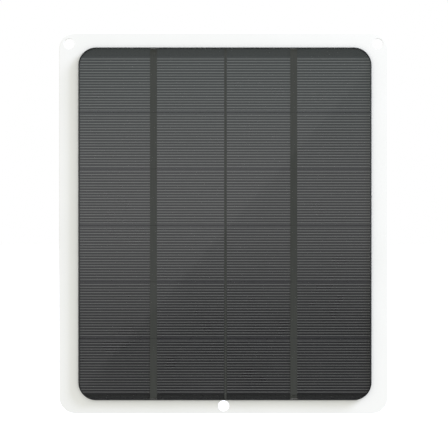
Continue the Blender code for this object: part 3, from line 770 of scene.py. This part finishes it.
def links():
    """The link between the strings and the two leads at the top, all behind the black layer."""
    for name in ("string_link", "positive_lead", "negative_lead"):
        shape = bmesh.new()
        shape.from_mesh(frame["nodes"][name].data)
        bmesh.ops.remove_doubles(shape, verts=shape.verts, dist=MERGE_WITHIN)
        divide(shape)
        piece = finish_mesh(name + "_ribbon", shape, FINISHES["ribbon"])
        bend_with_sheet(piece, "ribbon", name)


carrier_sheet()
front_film()
edge_seal()
black_backing()
cells()
column_spacer()
ribbons()
links()


# ---------------------------------------------------------------- the output box

def cad_finishes():
    """Gives every CAD node its finish."""
    slots = {material["slot"] for material in frame["record"]["materials"]}
    for node in frame["nodes"].values():
        for slot in node.material_slots:
            key = next(k for k in FINISHES if slot.material and slot.material.name.startswith(k))
            slot.material = FINISHES[key]
            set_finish(node, key if key in slots else None)


def contacts():
    """The gold contacts on the socket's tongue."""
    low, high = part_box("usb_insulator")
    face, mouth = high.y - TONGUE_FACE, low.z + CONTACT_INSET
    shape = bmesh.new()
    for i, length in enumerate(CONTACT_LENGTHS):
        x = (i - (len(CONTACT_LENGTHS) - 1) / 2) * CONTACT_PITCH
        left, right = x - CONTACT_W / 2, x + CONTACT_W / 2
        add_block(shape, (left, face - CONTACT_T, mouth), (right, face, mouth + length))
    piece = finish_mesh("usb_contacts", shape, GOLD)
    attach(piece, UPPER)
    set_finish(piece, "steel")


cad_finishes()
contacts()


# ---------------------------------------------------------------- floor, light and world

FLOOR_DROP = 0.030
FLOOR_REACH = 6.0

# How bright the world is to the camera, to matt surfaces and to glossy ones. In gloss it brightens
# overhead and behind the sheet, between these heights and depths of a direction.
SEEN_BACKGROUND = 1.0
SOFT_FILL = 0.90
SOFT_FROM_ABOVE = 0.30
GLOSS_AHEAD = 0.07
GLOSS_OVERHEAD = 0.7
OVERHEAD_HEIGHTS = (0.36, 0.70)
GLOSS_BEHIND = (0.05, 0.7)
BEHIND_HEIGHTS = (-0.15, 0.5)
BEHIND_DEPTHS = (0.0, 0.5)

# Where the low light is, seen from the point that the camera aims at.
LOW_LIGHT_PLACE = Vector((2.36, -0.42, 1.88))
LOW_LIGHT_SIZE = (0.8, 1.6)
LOW_LIGHT = 38.0
LOW_LIGHT_COLOUR = (0.96, 1.0, 1.28)

# A large card whose slanting edge shows in the film's gloss, between two points on the sheet.
CARD_DEPTH = 1.2
CARD_SIZE = 1.8
CARD_EDGE = (Vector((0.0659, 0, 0.0697)), Vector((-0.0724, 0, -0.0853)))
CARD_RADIANCE = 0.24

# A softbox that shows in the cells. Where it fades in and out, and where it turns a little
# greener, are heights on the sheet that mirror it.
SOFTBOX_DEPTH = 1.3
SOFTBOX_SIDES = (-0.45, 1.2)
SOFTBOX_RISE = (-0.070, 0.014)
SOFTBOX_FALL = (0.053, 0.205)
SOFTBOX_TINT_RISE = (0.030, 0.095)
SOFTBOX_TINT = (0.80, 1.0, 0.965)
SOFTBOX_RADIANCE = 0.735


def flat_piece(name, corners, material):
    """A single face that belongs to the studio and not to the object."""
    shape = bmesh.new()
    shape.faces.new([shape.verts.new(corner) for corner in corners])
    mesh = bpy.data.meshes.new(name)
    shape.to_mesh(mesh)
    shape.free()
    mesh.materials.append(material)
    piece = bpy.data.objects.new(name, mesh)
    bpy.context.scene.collection.objects.link(piece)
    return piece


def make_floor():
    """A plain pale floor below the sheet. It throws no light back."""
    finish = Finish("pale_floor", specular_ior_level=0.0, roughness=1.0)
    finish.colour_from(finish.two_colours(finish.noise(0.5), (0.90, 0.90, 0.90), (0.92, 0.92, 0.92)))
    z = SHEET[0].z - FLOOR_DROP
    corners = [(x * FLOOR_REACH, y * FLOOR_REACH, z) for x, y in ((-1, -1), (1, -1), (1, 1), (-1, 1))]
    floor = flat_piece("floor", corners, finish.material)
    floor.visible_glossy = False
    floor.visible_diffuse = False
    floor.visible_shadow = False


def make_world():
    """White to the camera, soft to matt surfaces, and dim with brighter parts to glossy ones."""
    world = bpy.data.worlds.new("studio")
    bpy.context.scene.world = world
    world.use_nodes = True
    world.cycles.sampling_method = "NONE"
    tree = world.node_tree
    tree.nodes.clear()

    def node(kind, **settings):
        made = tree.nodes.new(kind)
        for name, value in settings.items():
            setattr(made, name, value)
        return made

    def math_node(operation, a, b):
        made = node("ShaderNodeMath", operation=operation)
        for socket, value in zip(made.inputs, (a, b)):
            if isinstance(value, (int, float)):
                socket.default_value = value
            else:
                tree.links.new(value, socket)
        return made.outputs["Value"]

    def step(value, start, end, low, high):
        made = node("ShaderNodeMapRange", interpolation_type="SMOOTHSTEP")
        for name, number in (("From Min", start), ("From Max", end), ("To Min", low), ("To Max", high)):
            made.inputs[name].default_value = number
        tree.links.new(value, made.inputs["Value"])
        return made.outputs["Result"]

    def choose(test, no, yes):
        """no + test * (yes - no)"""
        return math_node("ADD", no, math_node("MULTIPLY", test, math_node("SUBTRACT", yes, no)))

    direction = node("ShaderNodeSeparateXYZ")
    tree.links.new(node("ShaderNodeTexCoord").outputs["Generated"], direction.inputs["Vector"])
    height, depth = direction.outputs["Z"], direction.outputs["Y"]
    path = node("ShaderNodeLightPath")
    overhead = step(height, *OVERHEAD_HEIGHTS, 0.0, GLOSS_OVERHEAD)
    rearward = step(depth, *BEHIND_DEPTHS, 0.0, 1.0)
    behind = math_node("MULTIPLY", rearward, step(height, *BEHIND_HEIGHTS, *GLOSS_BEHIND))
    glossy = math_node("ADD", math_node("ADD", GLOSS_AHEAD, overhead), behind)
    soft = math_node("ADD", SOFT_FILL, math_node("MULTIPLY", height, SOFT_FROM_ABOVE))
    seen = choose(path.outputs["Is Glossy Ray"], soft, glossy)
    seen = choose(path.outputs["Is Camera Ray"], seen, SEEN_BACKGROUND)
    background = node("ShaderNodeBackground")
    background.inputs["Color"].default_value = (*WHITE, 1.0)
    tree.links.new(seen, background.inputs["Strength"])
    output = node("ShaderNodeOutputWorld")
    tree.links.new(background.outputs["Background"], output.inputs["Surface"])


def area_light(name, radiance, place, rotation, size):
    """A soft rectangular light that sends out that radiance."""
    data = bpy.data.lights.new(name, "AREA")
    data.shape = "RECTANGLE"
    data.size, data.size_y = size
    data.energy = radiance * math.pi * size[0] * size[1]
    light = bpy.data.objects.new(name, data)
    light.location = place
    light.rotation_euler = rotation
    light.visible_camera = False
    bpy.context.scene.collection.objects.link(light)
    return light


def low_light():
    """A low soft light across the sheet from the upper right, which doesn't show in gloss."""
    facing = (-LOW_LIGHT_PLACE).to_track_quat("-Z", "Y").to_euler()
    light = area_light("low_light", LOW_LIGHT, AIM + LOW_LIGHT_PLACE, facing, LOW_LIGHT_SIZE)
    light.data.color = LOW_LIGHT_COLOUR
    light.visible_glossy = False


def light_only(light, receivers):
    """Only these pieces are lit by the light."""
    group = bpy.data.collections.new(light.name + "_receivers")
    for piece in receivers:
        group.objects.link(piece)
    light.light_linking.receiver_collection = group


def film_card(receivers):
    """The card up and to the left behind the camera, as the film's gloss mirrors it."""
    grow = (CARD_DEPTH + DISTANCE) / DISTANCE
    near, far = (point * grow for point in CARD_EDGE)
    along = (near - far).normalized()
    outward = Vector((-along.z, 0, along.x))
    place = AIM + (near + far) / 2 + outward * CARD_SIZE / 2 - Vector((0, CARD_DEPTH, 0))
    facing = (math.pi / 2, -math.atan2(along.z, along.x), 0)
    card = area_light("film_card", CARD_RADIANCE, place, facing, (CARD_SIZE, CARD_SIZE))
    card.visible_diffuse = False
    light_only(card, receivers)


def softbox_cloth(grow):
    """Glowing cloth that fades out at the bottom and the top, and turns greener upwards."""
    finish = Finish("softbox_cloth", base_color=BLACK, roughness=1.0, specular_ior_level=0.0)
    height = finish.node("ShaderNodeSeparateXYZ")
    finish.link(finish.coordinates, height.inputs["Vector"])
    height = height.outputs["Z"]
    strength = finish.node("ShaderNodeMath", operation="MULTIPLY")
    fades = ((SOFTBOX_RISE, (0, 1)), (SOFTBOX_FALL, (SOFTBOX_RADIANCE, 0)))
    for socket, ((start, end), levels) in zip(strength.inputs, fades):
        fade = finish.node("ShaderNodeMapRange", interpolation_type="SMOOTHSTEP")
        fade.inputs["From Min"].default_value = AIM.z + start * grow
        fade.inputs["From Max"].default_value = AIM.z + end * grow
        fade.inputs["To Min"].default_value, fade.inputs["To Max"].default_value = levels
        finish.link(height, fade.inputs["Value"])
        finish.link(fade.outputs["Result"], socket)
    finish.link(strength.outputs["Value"], finish.shader.inputs["Emission Strength"])
    start, end = SOFTBOX_TINT_RISE
    share = finish.spread(height, 0.0, 1.0, AIM.z + start * grow, AIM.z + end * grow)
    tint = finish.two_colours(share, WHITE, SOFTBOX_TINT, 0.0, 1.0)
    finish.link(tint, finish.shader.inputs["Emission Color"])
    return finish.material


def cell_softbox(receivers):
    """The wide softbox behind the camera, as the cells and the layer behind them mirror it."""
    grow = (SOFTBOX_DEPTH + DISTANCE) / DISTANCE
    (left, right), y = SOFTBOX_SIDES, AIM.y - SOFTBOX_DEPTH
    low, high = SOFTBOX_RISE[0] * grow, SOFTBOX_FALL[1] * grow
    corners = [
        (AIM.x + x, y, AIM.z + z) for x, z in ((left, low), (right, low), (right, high), (left, high))
    ]
    light = flat_piece("cell_softbox", corners, softbox_cloth(grow))
    light.visible_camera = False
    light.visible_diffuse = False
    light.visible_shadow = False
    light_only(light, receivers)


make_floor()
make_world()
low_light()
under_film_slots = ("silicon", "ribbon", "black_layer", "black_seal")
under_film = [o for o in bpy.data.objects if o.get("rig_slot") in under_film_slots]
film_card(under_film)
cell_softbox([o for o in under_film if o["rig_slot"] != "ribbon"])
bpy.context.scene.view_settings.view_transform = "Standard"
# Rays pass the clear film this many times at least, so it adds no noise to what lies under it.
bpy.context.scene.cycles.min_transparent_bounces = 8
